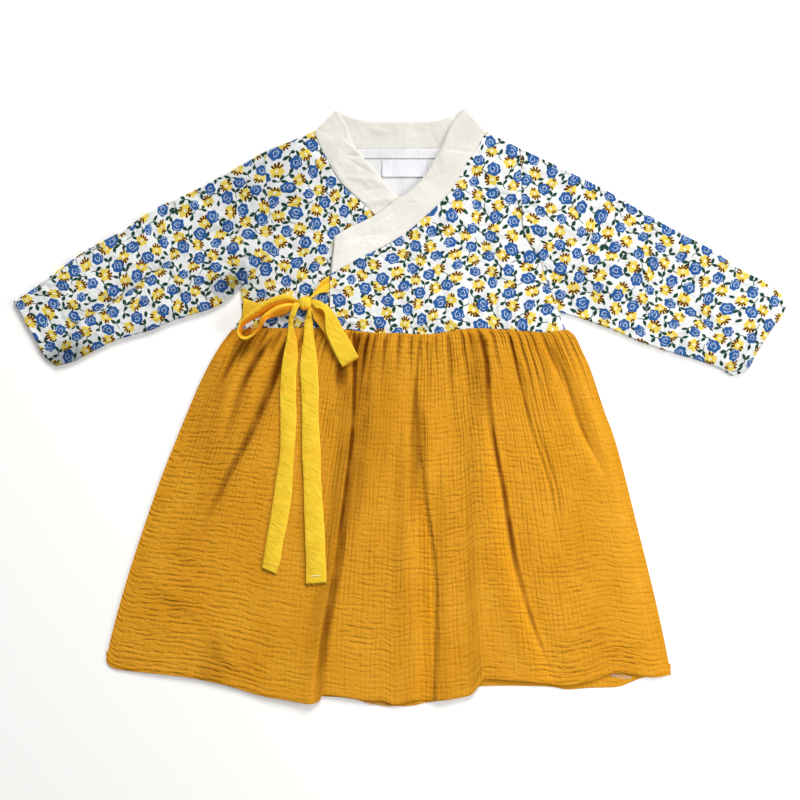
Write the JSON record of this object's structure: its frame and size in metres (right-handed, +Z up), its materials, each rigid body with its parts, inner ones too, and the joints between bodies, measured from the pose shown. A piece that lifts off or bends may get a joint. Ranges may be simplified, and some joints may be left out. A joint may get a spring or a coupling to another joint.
{
  "type": "child's hanfu ruqun dress laid flat",
  "caption": "Child's ruqun-style dress laid flat: cross-collar printed bodice with long sleeves, side bow ties and a gathered double-gauze skirt.",
  "frame": {"origin": "on the surface the dress lies on, under the middle of its outline", "axes": "+X across the dress, towards the sleeve on the right as seen from above; +Y towards the collar; +Z up, out of the front"},
  "size_m": [0.7368, 0.5684, 0.0192],
  "materials": {
    "printed_lawn": "plain-weave cotton lawn, white ground with a small blue and yellow flower print",
    "linen": "pressed off-white linen-cotton",
    "double_gauze": "crinkled mustard cotton double gauze",
    "cotton_tape": "bright yellow plain-weave cotton tape",
    "white_cotton": "plain white cotton"
  },
  "bodies": {
    "root": {"bodice_back": "printed_lawn", "bodice_front_under": "printed_lawn", "bodice_front_over": "printed_lawn", "sleeve_left": "printed_lawn", "sleeve_right": "printed_lawn", "collar": "linen", "back_lining": "white_cotton", "neck_tape": "white_cotton", "neck_label": "white_cotton", "skirt_front": "double_gauze", "skirt_back": "double_gauze", "tie_side_lead": "cotton_tape", "tie_front_lead": "cotton_tape", "bow_knot": "cotton_tape", "bow_loop_left": "cotton_tape", "bow_loop_right": "cotton_tape", "tie_tail_left": "cotton_tape", "tie_tail_right": "cotton_tape"}
  },
  "joints": []
}
